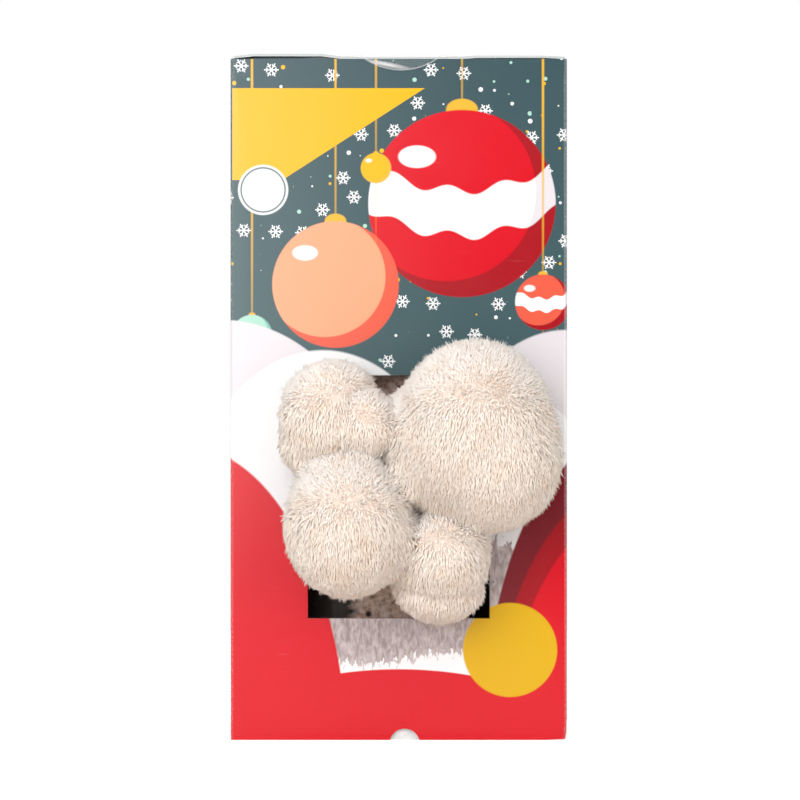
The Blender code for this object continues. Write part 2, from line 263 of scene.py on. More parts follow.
# %% Masks and inks
PRINT_EDGE = 0.25


def seen_from(tree, place, centre, radii):
    """The place as a motif sees it: nothing at its centre, and 1 away at its outline."""
    scale = (1 / radii[0], 1 / radii[1], 0)
    shift = (-centre[0] / radii[0], -centre[1] / radii[1], 0)
    return add(tree, "VectorMath", [place, scale, shift], operation="MULTIPLY_ADD")


def ellipse(tree, place, centre, radii, edge=PRINT_EDGE):
    """A mask that is 1 inside an ellipse on the sheet. All sizes are in millimetres."""
    local = seen_from(tree, place, centre, radii)
    span = add(tree, "VectorMath", [local], operation="LENGTH")
    soft = edge / min(radii)
    return add(tree, "MapRange", {"Value": span, "From Min": 1 + soft, "From Max": 1 - soft})


def lay(tree, under, ink, mask):
    """Prints an ink, a hex colour or a node, over what is already on the sheet."""
    ink = linear(ink) if isinstance(ink, str) else ink
    return add(tree, "Mix", {0: mask, 6: under, 7: ink}, data_type="RGBA")


def both(tree, mask, other):
    return add(tree, "Math", [mask, other], operation="MULTIPLY")


def off_line(tree, value, line):
    """How far a coordinate is from a line, on either side of it."""
    offset = add(tree, "Math", [value, line], operation="SUBTRACT")
    return add(tree, "Math", [offset], operation="ABSOLUTE")


# %% Glass balls
STRING = (0.45, 90)


def band_across(tree, place, centre, radius):
    """A sagging, wavy band across a ball, as a mask. Its numbers are in radii of the ball."""
    local = seen_from(tree, place, centre, (radius, radius))
    x, y, _ = add(tree, "SeparateXYZ", [local]).outputs
    turns = add(tree, "Math", [x, 11.0], operation="MULTIPLY")
    wave = add(tree, "Math", [turns], operation="SINE")
    bow = add(tree, "Math", [x, 2.0], operation="POWER")
    raised = add(tree, "Math", [wave, 0.05, y], operation="MULTIPLY_ADD")
    level = add(tree, "Math", [bow, -0.28, raised], operation="MULTIPLY_ADD")
    span = off_line(tree, level, -0.10)
    return add(tree, "MapRange", {"Value": span, "From Min": 0.25, "From Max": 0.235})


def bauble(tree, place, walls, under, centre, radius, ball, shade, band):
    """A hanging glass ball: string, cap, lit side, shaded side, perhaps a band, and a gleam."""
    x, y = centre
    string = both(tree, walls, ellipse(tree, place, (x, y + radius + STRING[1]), STRING))
    cap = ellipse(tree, place, (x, y + radius), (0.17 * radius, 0.12 * radius))
    whole = ellipse(tree, place, centre, (radius, radius))
    lit_centre = (x - 0.17 * radius, y + 0.13 * radius)
    lit = ellipse(tree, place, lit_centre, (0.96 * radius, 0.96 * radius))
    gleam_centre = (x - 0.48 * radius, y + 0.50 * radius)
    gleam = ellipse(tree, place, gleam_centre, (0.20 * radius, 0.12 * radius))
    surface = lay(tree, linear(shade), ball, lit)
    if band:
        sash = lay(tree, linear(SNOW_SHADE), band, lit)
        surface = lay(tree, surface, sash, band_across(tree, place, centre, radius))
    surface = lay(tree, surface, SNOW, gleam)
    under = lay(tree, under, GOLD, string)
    under = lay(tree, under, GOLD, cap)
    return lay(tree, under, surface, whole)


# %% Snow in the air
FLAKE_SLIDE = 0.41


def loose_snow(tree, place, spacing, radius, share):
    """Round dots scattered on the sheet: a share of the cells of a Voronoi pattern hold one."""
    near = add(tree, "VectorMath", {0: place, "Scale": 1 / spacing}, operation="SCALE")
    cells = add(tree, "TexVoronoi", {"Vector": near, "Scale": 1.0}, voronoi_dimensions="2D")
    lot, tone, _ = add(tree, "SeparateColor", [cells.outputs["Color"]]).outputs
    drawn = add(tree, "Math", [lot, 1 - share], operation="GREATER_THAN")
    grown = {"From Min": 1 - share, "To Min": 0.0, "To Max": radius / spacing}
    size = add(tree, "MapRange", {"Value": lot, **grown})
    inside = add(tree, "Math", [cells, size], operation="LESS_THAN")
    return both(tree, inside, drawn), tone


def snowflakes(tree, place, spacing, radius, shift, share):
    """Six-armed flakes in staggered rows. Only a share of the places holds one."""
    size = (1 / spacing, 1 / spacing, 0)
    moved = add(tree, "VectorMath", [place, size, shift], operation="MULTIPLY_ADD")
    across, up, _ = add(tree, "SeparateXYZ", [moved]).outputs
    row = add(tree, "Math", [up], operation="FLOOR")
    slid = add(tree, "Math", [row, FLAKE_SLIDE, across], operation="MULTIPLY_ADD")
    column = add(tree, "Math", [slid], operation="FLOOR")
    cell = add(tree, "CombineXYZ", [column, row])
    lot = add(tree, "TexWhiteNoise", {"Vector": cell}, noise_dimensions="3D")
    drawn = add(tree, "Math", [lot, share], operation="LESS_THAN")
    x = add(tree, "Math", [slid], operation="FRACT")
    y = add(tree, "Math", [up], operation="FRACT")
    square = add(tree, "CombineXYZ", [x, y])
    nudge = [lot.outputs["Color"], (0.5, 0.5, 0), (-0.25, -0.25, 0)]
    nudge = add(tree, "VectorMath", nudge, operation="MULTIPLY_ADD")
    local = add(tree, "VectorMath", [nudge, square], operation="ADD")
    centred = [local, (spacing, spacing, 0), (-spacing / 2, -spacing / 2, 0)]
    arm = add(tree, "VectorMath", centred, operation="MULTIPLY_ADD")
    right, rise, _ = add(tree, "SeparateXYZ", [arm]).outputs
    reach = add(tree, "VectorMath", [arm], operation="LENGTH")
    angle = add(tree, "Math", [rise, right], operation="ARCTAN2")
    fold = add(tree, "Math", [angle, math.pi / 6], operation="PINGPONG")
    beside = both(tree, add(tree, "Math", [fold], operation="SINE"), reach)
    along = both(tree, add(tree, "Math", [fold], operation="COSINE"), reach)
    width = 0.085 * radius
    stem = add(tree, "Math", [beside, width], operation="LESS_THAN")
    slanted = add(tree, "Math", [beside, -0.577, along], operation="MULTIPLY_ADD")
    slanted = off_line(tree, slanted, 0.52 * radius)
    twig = add(tree, "Math", [slanted, width], operation="LESS_THAN")
    short = add(tree, "Math", [beside, 0.30 * radius], operation="LESS_THAN")
    lines = add(tree, "Math", [stem, both(tree, twig, short)], operation="MAXIMUM")
    near = add(tree, "Math", [reach, radius], operation="LESS_THAN")
    return both(tree, both(tree, lines, near), drawn)


# %% Ground
def below_wave(tree, x, y, level, swing, waves):
    """A mask that is 1 below a wavy line that closes on itself round the carton."""
    around = 2 * (2 * HALF_WIDTH + 2 * HALF_DEPTH) / MM
    turns = add(tree, "Math", [x, 2 * math.pi * waves / around], operation="MULTIPLY")
    wave = add(tree, "Math", [turns], operation="COSINE")
    height = add(tree, "Math", [wave, -swing, y], operation="MULTIPLY_ADD")
    edge = {"From Min": level + PRINT_EDGE, "From Max": level - PRINT_EDGE}
    return add(tree, "MapRange", {"Value": height, **edge})


# %% [markdown]
# The design is laid down from back to front, one ink over another: sky, snow in the air, glass
# balls, drifts, hills, and then the labels. Where the real board is only coloured, nothing is
# raised: colour alone changes.

# %% Where everything is printed
# The first number of a place goes round the carton from the middle of the front, the second goes
# up, both in millimetres. A ball: centre, radius, colour, shaded side, and its band's colour.
BALLS = (
    ((25, 212), 37, RED, RED_SHADE, SNOW),
    ((-25, 180), 25, PEACH, CORAL, None),
    ((57, 173), 11, CORAL, RED_SHADE, SNOW),
    ((-58, 160), 8, MINT, MINT_SHADE, None),
    ((-9, 226), 6, YELLOW, GOLD, None),
    ((120, 200), 30, RED, RED_SHADE, SNOW),
    ((94, 228), 12, MINT, MINT_SHADE, None),
    ((150, 170), 14, PEACH, CORAL, SNOW),
    ((-120, 190), 32, PEACH, CORAL, SNOW),
    ((-148, 226), 13, RED, RED_SHADE, None),
    ((-92, 168), 11, YELLOW, GOLD, None),
)
# A wavy field of ground all round: level, swing, number of waves, colour.
GROUND_WAVES = (
    (112, 12, 3, SNOW_SHADE),
    (98, 10, 4, SNOW),
    (66, 9, 2, RED_SHADE),
    (56, 8, 3, RED),
)
SNOW_HILLS = (
    ((-70, 70), (70, 96), SNOW_SHADE),
    ((66, 58), (60, 104), SNOW_SHADE),
    ((-30, 40), (66, 114), SNOW),
    ((36, 28), (66, 112), SNOW),
)
GREY_DRIFTS = (((-12, 56), (44, 26)), ((22, 58), (36, 24)))
RED_HILLS = (
    ((80, -6), (47, 120), DARK_RED),
    ((-84, -12), (64, 128), RED),
    ((89, -16), (54, 116), RED_SHADE),
    ((92, -22), (53, 112), RED),
    ((0, -76), (132, 104), RED),
)
SKY_FOOT, WALL_TOP = 120.0, 270.0
DOT_SPACING, DOT_RADIUS, DOT_SHARE = 6.5, 0.95, 0.45
FLAKE_SPACING, FLAKE_RADIUS, FLAKE_SHARE = 13.0, 2.9, 0.55
RIBBON_LEFT, RIBBON_BOTTOM, RIBBON_TOP = -66.0, 221.3, 257.6
RIBBON_TIP, RIBBON_SLOPE = 10.3, 1.55
MEDAL = ((-53.6, 217.4), 9.9)
MEDAL_RINGS = ((0, SNOW), (0.9, TEAL_HIGH), (1.5, SNOW))
LABEL_ROUND = ((44, 35.6), 18.6)
BACK_PANEL = ((241.0, 150.0), (50.0, 85.0))


# %% Printed fur and labels
def printed_fur(tree, place):
    """A furry grey ink, and the place shifted up and down so that an edge drawn there is ragged."""
    strands = add(tree, "VectorMath", [place, (0.62, 0.24, 1.0)], operation="MULTIPLY")
    pattern = {"Vector": strands, "Scale": 1.0, "Detail": 4.0, "Distortion": 0.7}
    fur = add(tree, "TexNoise", pattern)
    grain = add(tree, "MapRange", {"Value": fur, "From Min": 0.35, "From Max": 0.65})
    teeth = add(tree, "Math", [fur, 16.0, -8.0], operation="MULTIPLY_ADD")
    hanging = add(tree, "CombineXYZ", {"Y": teeth})
    ragged = add(tree, "VectorMath", [place, hanging], operation="ADD")
    return lay(tree, linear(DRIFT_GREY), DRIFT_LIGHT, grain), ragged


def labels(tree, place, x, y, ink):
    """The bare labels: a ribbon with a slanted end, a medal, a round, and a back panel."""
    slant = add(tree, "Math", [y, -RIBBON_SLOPE, x], operation="MULTIPLY_ADD")
    tip = RIBBON_TIP - RIBBON_SLOPE * RIBBON_TOP
    ribbon = add(tree, "Math", [slant, tip], operation="LESS_THAN")
    for value, side, line in (
        (x, "GREATER_THAN", RIBBON_LEFT),
        (y, "GREATER_THAN", RIBBON_BOTTOM),
        (y, "LESS_THAN", RIBBON_TOP),
    ):
        ribbon = both(tree, ribbon, add(tree, "Math", [value, line], operation=side))
    ink = lay(tree, ink, YELLOW, ribbon)
    centre, radius = MEDAL
    for inset, colour in MEDAL_RINGS:
        ink = lay(tree, ink, colour, ellipse(tree, place, centre, (radius - inset,) * 2))
    centre, radius = LABEL_ROUND
    ink = lay(tree, ink, DEEP_YELLOW, ellipse(tree, place, centre, (radius, radius)))
    inside = [
        add(tree, "Math", [off_line(tree, value, middle), half], operation="LESS_THAN")
        for value, middle, half in zip((x, y), *BACK_PANEL)
    ]
    return lay(tree, ink, SNOW, both(tree, *inside))


# %% The winter design
def winter_design(tree, place):
    """The whole sheet's ink colour at each place, in millimetres on the sheet."""
    x, y, _ = add(tree, "SeparateXYZ", [place]).outputs
    height = add(tree, "MapRange", {"Value": y, "From Min": SKY_FOOT, "From Max": WALL_TOP})
    ink = lay(tree, linear(TEAL_LOW), TEAL_HIGH, height)
    dots, lot = loose_snow(tree, place, DOT_SPACING, DOT_RADIUS, DOT_SHARE)
    ink = lay(tree, ink, MINT, dots)
    for colour, from_lot in ((SNOW, 0.45), (YELLOW, 0.82)):
        chosen = add(tree, "Math", [lot, from_lot], operation="GREATER_THAN")
        ink = lay(tree, ink, colour, both(tree, dots, chosen))
    shift = (0.30, 0.18, 0)
    flakes = snowflakes(tree, place, FLAKE_SPACING, FLAKE_RADIUS, shift, FLAKE_SHARE)
    ink = lay(tree, ink, SNOW, flakes)
    walls = add(tree, "Math", [y, WALL_TOP], operation="LESS_THAN")
    for ball in BALLS:
        ink = bauble(tree, place, walls, ink, *ball)
    for level, swing, waves, colour in GROUND_WAVES:
        ink = lay(tree, ink, colour, below_wave(tree, x, y, level, swing, waves))
    for centre, radii, colour in SNOW_HILLS:
        ink = lay(tree, ink, colour, ellipse(tree, place, centre, radii))
    grey, ragged = printed_fur(tree, place)
    for centre, radii in GREY_DRIFTS:
        ink = lay(tree, ink, grey, ellipse(tree, ragged, centre, radii, edge=0.4))
    for centre, radii, colour in RED_HILLS:
        ink = lay(tree, ink, colour, ellipse(tree, place, centre, radii))
    return labels(tree, place, x, y, ink)


# %% [markdown]
# The laminate is a thin satin film: smoother than paper and softer than gloss, so its highlights
# spread. On the folds it is stretched and rubbed, so the ink is thinner there and white board
# shows through in flecks. Handling leaves faint scuffs.

# %% Printed, laminated board
PRINT_MAP = "print"
FOLDS = (HALF_WIDTH, HALF_WIDTH + 2 * HALF_DEPTH)
FOLD_REACH = {"From Min": 1.1, "From Max": 0.2}
FOLD_WEAR = 0.32
LID_CREASE = LID_HIGH.z + 2.2 * MM
LID_CRACK = 0.75
BARE_BOARD = "#efe9e6"
CRACKED_FILM = "#c8cccc"
SCUFF = "#f4ebe8"


def laminated_print():
    """Offset print on white board under satin film: saturated ink, soft gloss, rubbed folds."""
    material, tree, shader = new_material("offset print under satin film")
    sheet = add(tree, "UVMap", uv_map=PRINT_MAP)
    place = add(tree, "VectorMath", {0: sheet, "Scale": 1 / MM}, operation="SCALE")
    x, y, _ = add(tree, "SeparateXYZ", [place]).outputs
    ink = winter_design(tree, place)

    around = add(tree, "Math", [x], operation="ABSOLUTE")
    near_folds = [
        add(tree, "MapRange", {"Value": off_line(tree, around, fold / MM), **FOLD_REACH})
        for fold in FOLDS
    ]
    rubbed = add(tree, "Math", near_folds, operation="MAXIMUM")
    flecks = {"Vector": place, "Scale": 1.6, "Detail": 5.0, "Roughness": 0.65}
    flecks = add(tree, "TexNoise", flecks)
    worn = add(tree, "MapRange", {"Value": flecks, "From Min": 0.44, "From Max": 0.62})
    ink = lay(tree, ink, BARE_BOARD, both(tree, both(tree, rubbed, worn), FOLD_WEAR))
    away = off_line(tree, y, LID_CREASE / MM)
    cracked = add(tree, "MapRange", {"Value": away, "From Min": 1.9, "From Max": 1.3})
    ink = lay(tree, ink, CRACKED_FILM, both(tree, cracked, LID_CRACK))

    streaks = add(tree, "VectorMath", [place, (0.05, 0.9, 1.0)], operation="MULTIPLY")
    scratches = add(tree, "TexNoise", {"Vector": streaks, "Scale": 1.0, "Detail": 2.0})
    faint = {"From Min": 0.70, "From Max": 0.82, "To Max": 0.04}
    ink = lay(tree, ink, SCUFF, add(tree, "MapRange", {"Value": scratches, **faint}))
    smears = add(tree, "TexNoise", {"Vector": place, "Scale": 0.05, "Detail": 3.0})
    satin = add(tree, "MapRange", {"Value": smears, "To Min": 0.15, "To Max": 0.21})
    fibres = add(tree, "TexNoise", {"Vector": place, "Scale": 1.3, "Detail": 4.0})
    bump = add(tree, "Bump", {"Height": fibres, "Strength": 0.10, "Distance": 0.05 * MM})
    feed(shader, {"Base Color": ink, "Roughness": satin, "Normal": bump})
    feed(shader, {"Specular IOR Level": 0.48})
    return material


def white_liner():
    """The board's unprinted side, clay coated: matt, off white, with pale fibre clouds."""
    material, tree, shader = new_material("clay-coated white liner")
    place = add(tree, "TexCoord").outputs["Object"]
    clouds = add(tree, "TexNoise", {"Vector": place, "Scale": 1 / (4 * MM), "Detail": 5.0})
    tone = set_stops(add(tree, "ValToRGB", {"Fac": clouds}), ((0.35, "#c8c9cb"), (0.65, "#d8dadc")))
    fibres = add(tree, "TexNoise", {"Vector": place, "Scale": 1 / (0.5 * MM), "Detail": 3.0})
    bump = add(tree, "Bump", {"Height": fibres, "Strength": 0.2, "Distance": 0.05 * MM})
    feed(shader, {"Base Color": tone, "Roughness": 0.75, "Normal": bump})
    return material


def cut_board():
    """The die-cut edge: grey-brown pulp between two white skins, with torn fibres."""
    material, tree, shader = new_material("die-cut board edge")
    place = add(tree, "TexCoord").outputs["Object"]
    pulp = add(tree, "TexNoise", {"Vector": place, "Scale": 1 / (0.6 * MM), "Detail": 4.0})
    stops = ((0.30, "#a3968a"), (0.55, "#cfc5ba"), (0.75, "#ece7e0"))
    tone = set_stops(add(tree, "ValToRGB", {"Fac": pulp}), stops)
    bump = add(tree, "Bump", {"Height": pulp, "Strength": 0.4, "Distance": 0.1 * MM})
    feed(shader, {"Base Color": tone, "Roughness": 0.9, "Normal": bump})
    return material


PRINT = laminated_print()
LINER = white_liner()
CUT_EDGE = cut_board()
print("the print is drawn with", len(PRINT.node_tree.nodes), "nodes")

# %% [markdown]
# ## The carton
#
# The frame's carton already has the walls, flaps, window and thumb notch, so this piece starts
# from a copy of it. The nicks are cut with one peg that an Array repeats. The panels are first
# cut into strips by bisecting, because a flat face with no points in it can't bow.

# %% Punch the window's edge
WINDOW_HALF_WIDTH = 35.8 * MM
WINDOW_BOTTOM = 48.2 * MM
WINDOW_TOP = 144.0 * MM
NICK_PITCH = 1.07 * MM
NICK_RADIUS = 0.36 * MM


def nick_row(start, end):
    """A row of pegs from start to end, a peg's half depth into the board all along."""
    start, end = Vector(start), Vector(end)
    count = int((end - start).length / NICK_PITCH)
    lying = (math.pi / 2, 0, 0)
    bpy.ops.mesh.primitive_cylinder_add(
        vertices=6, radius=NICK_RADIUS, depth=4 * BOARD, location=start, rotation=lying
    )
    bpy.ops.object.transform_apply(location=False, rotation=True, scale=False)
    peg = bpy.context.object
    row = {"count": count, "use_relative_offset": False, "use_constant_offset": True}
    row["constant_offset_displace"] = (end - start) / count
    shape_with(peg, "ARRAY", "row of pegs", **row)
    return peg


carton = copy_of_solid("carton", "printed_carton")
deselect_all()
corners = [
    (x * WINDOW_HALF_WIDTH, FRONT_Y, z)
    for x, z in ((-1, WINDOW_BOTTOM), (1, WINDOW_BOTTOM), (1, WINDOW_TOP), (-1, WINDOW_TOP))
]
pegs = [nick_row(corners[side], corners[(side + 1) % 4]) for side in range(4)]
make_active(pegs[0])
for peg in pegs:
    peg.select_set(True)
bpy.ops.object.join()
punch = bpy.context.object
cut = {"operation": "DIFFERENCE", "solver": "EXACT", "object": punch}
shape_with(carton, "BOOLEAN", "punch the window's edge", **cut)
bpy.data.objects.remove(punch)
print("punched carton:", len(carton.data.polygons), "faces")

# %% Cut the panels into strips
STRIP = 9.0 * MM


def cut_into_strips(piece, low, high):
    """Bisects a piece along all three axes, a strip's width apart, and keeps both sides."""
    make_active(piece)
    bpy.ops.object.mode_set(mode="EDIT")
    for axis in range(3):
        normal = [0.0, 0.0, 0.0]
        normal[axis] = 1.0
        strips = max(2, round((high[axis] - low[axis]) / STRIP))
        for number in range(1, strips):
            point = [0.0, 0.0, 0.0]
            point[axis] = low[axis] + (high[axis] - low[axis]) * number / strips
            bpy.ops.mesh.select_all(action="SELECT")
            bpy.ops.mesh.bisect(plane_co=point, plane_no=normal)
    bpy.ops.object.mode_set(mode="OBJECT")


cut_into_strips(carton, CARTON_LOW, CARTON_HIGH)
print("in strips:", len(carton.data.polygons), "faces")

# %% [markdown]
# Each face is now told which side of the board it is on, by how deep it lies under the carton's
# rounded outline: at depth nothing it is print, half a board down it is the cut edge, and further
# in it is the white liner. The printed faces also get their place on the flat sheet.

# %% Sort the faces and unfold the sheet
CREASE_RADIUS = 1.4 * MM
SKIN = 0.12 * MM
SEAM_X = 0.5 * MM
LID_SHEET = 130 * MM


def face_arrays(mesh):
    centres = np.empty((len(mesh.polygons), 3))
    normals = np.empty((len(mesh.polygons), 3))
    mesh.polygons.foreach_get("center", centres.ravel())
    mesh.polygons.foreach_get("normal", normals.ravel())
    return centres, normals


def depth_under_outline(places):
    """How far inside the carton's rounded rectangular outline each place lies, seen from above."""
    inner = np.array([HALF_WIDTH - CREASE_RADIUS, HALF_DEPTH - CREASE_RADIUS])
    beyond = np.abs(places[:, :2]) - inner
    corner = np.linalg.norm(np.maximum(beyond, 0), axis=1)
    return CREASE_RADIUS - corner - np.minimum(beyond.max(axis=1), 0)


def paint_sides(piece, printed, cut_face):
    """Gives a board piece its three materials, from masks of its printed and its cut faces."""
    for material in (PRINT, LINER, CUT_EDGE):
        piece.data.materials.append(material)
    slots = np.where(printed, 0, np.where(cut_face, 2, 1)).astype(np.int32)
    piece.data.polygons.foreach_set("material_index", slots)


def sheet_place(place, centre, normal):
    """Where a point of the carton's outside lies on the flat sheet: round it, and up it."""
    x, y, z = place
    behind = y - FRONT_Y
    if normal.z < -0.7:
        return x, -behind
    if normal.z > 0.7:
        side = 1 if centre.x > 0 else -1
        return side * (HALF_WIDTH + behind), CARTON_HIGH.z + HALF_WIDTH - abs(x)
    if centre.y > 0 and centre.x > SEAM_X - HALF_WIDTH:
        return 2 * HALF_WIDTH - x + behind, z
    return (x + behind if centre.x > 0 else x - behind), z


def unfold(piece, printed, to_sheet):
    """Writes the print's UV map for the printed faces of a piece."""
    layer = piece.data.uv_layers.new(name=PRINT_MAP)
    vertices = piece.data.vertices
    for face in piece.data.polygons:
        if printed[face.index]:
            for corner, vertex in zip(face.loop_indices, face.vertices):
                layer.data[corner].uv = to_sheet(vertices[vertex].co, face.center, face.normal)


centres, normals = face_arrays(carton.data)
depth = depth_under_outline(centres)
outside = (depth < SKIN) & (np.abs(normals[:, 2]) < 0.7)
underside = (centres[:, 2] < SKIN) & (normals[:, 2] < -0.7)
flap_tops = (centres[:, 2] > CARTON_HIGH.z - 2 * BOARD) & (normals[:, 2] > 0.7) & (depth > BOARD)
printed = outside | underside | flap_tops
cut_face = (depth > SKIN) & (depth < BOARD - SKIN) & ~printed
paint_sides(carton, printed, cut_face)
unfold(carton, printed, sheet_place)
print("printed faces:", int(printed.sum()), "- cut faces:", int(cut_face.sum()))

# %% Bow the panels and crush the corner
FRONT_BOW = 0.40 * MM
SIDE_BOW = 0.22 * MM
CRUSH = 0.9 * MM
CRUSH_REACH = 7.0 * MM
CRUSH_WAY = Vector((-0.7, 0.5, 0.55))
BOARD_ZONE = 2.2 * MM


def hump(value, half):
    return max(0.0, 1 - (value / half) ** 2)


def shade_as_flat_panels(piece):
    """Smooth shading in which wide faces outweigh narrow ones, so a fold doesn't bend the sheen."""
    make_active(piece)
    bpy.ops.object.shade_smooth_by_angle(angle=math.radians(30))
    shape_with(piece, "WEIGHTED_NORMAL", "wide faces lead", keep_sharp=True)


middle_z = CARTON_HIGH.z / 2
crushed_corner = Vector((HALF_WIDTH, FRONT_Y, 0))
for vertex in carton.data.vertices:
    place = vertex.co.copy()
    rise = hump(place.z - middle_z, middle_z)
    if abs(place.y) > HALF_DEPTH - BOARD_ZONE:
        vertex.co.y += math.copysign(FRONT_BOW * rise * hump(place.x, HALF_WIDTH), place.y)
    if abs(place.x) > HALF_WIDTH - BOARD_ZONE:
        vertex.co.x += math.copysign(SIDE_BOW * rise * hump(place.y, HALF_DEPTH), place.x)
    near = max(0.0, 1 - (place - crushed_corner).length / CRUSH_REACH)
    vertex.co += CRUSH_WAY * CRUSH * near**1.5
shade_as_flat_panels(carton)
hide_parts("carton")
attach(carton, "carton")
print("the carton's box:", [round(side / MM, 1) for side in carton.dimensions])

# %% [markdown]
# ## The lid
#
# The lid is the same board: a top panel and a tuck flap. It has been opened a few times, so its
# front crease no longer lies quite down: a thin dark slit shows under it beside the seal, where
# the board has sprung up a little, most on the left, and its edge is pale where the laminate has
# cracked.

# %% Lid
LID_BOW = 0.30 * MM
LID_SPRING = 1.3 * MM
TUCK_SPRING = 2.8 * MM
TUCK_FADE = 14 * MM
RIGHT_SHARE = 0.45
CORNER_SHARE = 0.25
CORNER_FADE = 7 * MM
SEAL_REACH = 21 * MM
SEAL_FADE = 8 * MM
FRONT_STRIP = 4 * MM
LID_DEPTH = LID_HIGH.y - LID_LOW.y
CREASE_FOOT = LID_HIGH.z - BOARD + 0.05 * MM


def lid_sheet_place(place, _, normal):
    """The lid's print goes on above the front panel, and its tuck flap beyond that."""
    if normal.y < -0.7 and place.z < LID_HIGH.z - BOARD:
        return place.x, LID_HIGH.z + LID_SHEET + (LID_HIGH.z - place.z)
    return place.x, LID_HIGH.z + (place.y - FRONT_Y)


def sprung(x):
    """How far the lid has sprung up at x: not under the seal, and less at the corners."""
    beside_seal = (abs(x) - SEAL_REACH) / SEAL_FADE
    short_of_corner = (LID_HIGH.x - abs(x)) / CORNER_FADE
    share = max(0.0, min(1.0, beside_seal)) * max(CORNER_SHARE, min(1.0, short_of_corner))
    return share if x < 0 else RIGHT_SHARE * share


lid = copy_of_solid("lid", "printed_lid")
cut_into_strips(lid, LID_LOW, LID_HIGH)
bpy.ops.object.mode_set(mode="EDIT")
bpy.ops.mesh.select_all(action="SELECT")
bpy.ops.mesh.bisect(plane_co=(0, 0, CREASE_FOOT), plane_no=(0, 0, 1))
bpy.ops.object.mode_set(mode="OBJECT")
centres, normals = face_arrays(lid.data)
top_face = (normals[:, 2] > 0.25) & (centres[:, 2] > LID_HIGH.z - BOARD)
tuck_face = normals[:, 1] < -0.6
printed = top_face | tuck_face
below_top = centres[:, 2] < LID_HIGH.z - BOARD
inner_face = (normals[:, 2] < -0.7) | ((normals[:, 1] > 0.6) & below_top)
paint_sides(lid, printed, ~printed & ~inner_face)
unfold(lid, printed, lid_sheet_place)
for vertex in lid.data.vertices:
    along = (vertex.co.y - LID_LOW.y) / LID_DEPTH
    spring = sprung(vertex.co.x)
    if vertex.co.z < CREASE_FOOT + 0.01 * MM and vertex.co.y < LID_LOW.y + FRONT_STRIP:
        height = max(0.0, 1 - (CREASE_FOOT - vertex.co.z) / TUCK_FADE)
        vertex.co.y += TUCK_SPRING * spring * height
        vertex.co.z += LID_SPRING * spring
    elif vertex.co.z > LID_HIGH.z - 2 * BOARD:
        vertex.co.z += LID_BOW * math.sin(math.pi * along) * hump(vertex.co.x, HALF_WIDTH)
        vertex.co.z += LID_SPRING * spring * (1 - along) ** 1.5
shade_as_flat_panels(lid)
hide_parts("lid")
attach(lid, "lid")
print("the lid's box:", [round(side / MM, 1) for side in lid.dimensions])

# %% [markdown]
# ## The clear seal
#
# A round sticker of clear film is bent over the front crease. The frame's disc has the right
# shape, so it keeps it. Clear film over print shows only by its sheen and its edge, so the
# shader is mostly see-through, with a smooth surface over a slight orange peel.


# %% Clear films
def clear_film(name, alpha, tone, roughness, wrinkle, wrinkle_height):
    """Clear plastic film: nearly see-through, with a bright, broken sheen."""
    material, tree, shader = new_material(name)
    place = add(tree, "TexCoord").outputs["Object"]
    stretched = add(tree, "VectorMath", [place, (1.0, 1.0, 0.45)], operation="MULTIPLY")
    pattern = {"Vector": stretched, "Scale": 1 / wrinkle, "Detail": 3.0, "Distortion": 0.6}
    folds = add(tree, "TexNoise", pattern)
    bump = add(tree, "Bump", {"Height": folds, "Strength": 0.6, "Distance": wrinkle_height})
    haze = add(tree, "MapRange", {"Value": folds, "To Min": roughness, "To Max": 2 * roughness})
    veil = add(tree, "MapRange", {"Value": folds, "To Min": 0.7 * alpha, "To Max": 1.3 * alpha})
    feed(shader, {"Base Color": linear(tone), "IOR": 1.49, "Specular IOR Level": 1.0})
    feed(shader, {"Roughness": haze, "Alpha": veil, "Normal": bump})
    return material


SEAL_LOW, SEAL_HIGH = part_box("clear_seal")
SEAL_RADIUS = (SEAL_HIGH.x - SEAL_LOW.x) / 2
# The seal's pale rim is a painted highlight along its cut edge, and its one streak is painted
# sheen: there the film is made whiter and less clear.
SEAL_RIM, RIM_HIGHLIGHT_VEIL = 0.7, 0.26
SHEEN_STREAK = ((-5.0, 267.0), (7.6, 0.75), -0.19)
SHEEN_STREAK_VEIL = 0.42


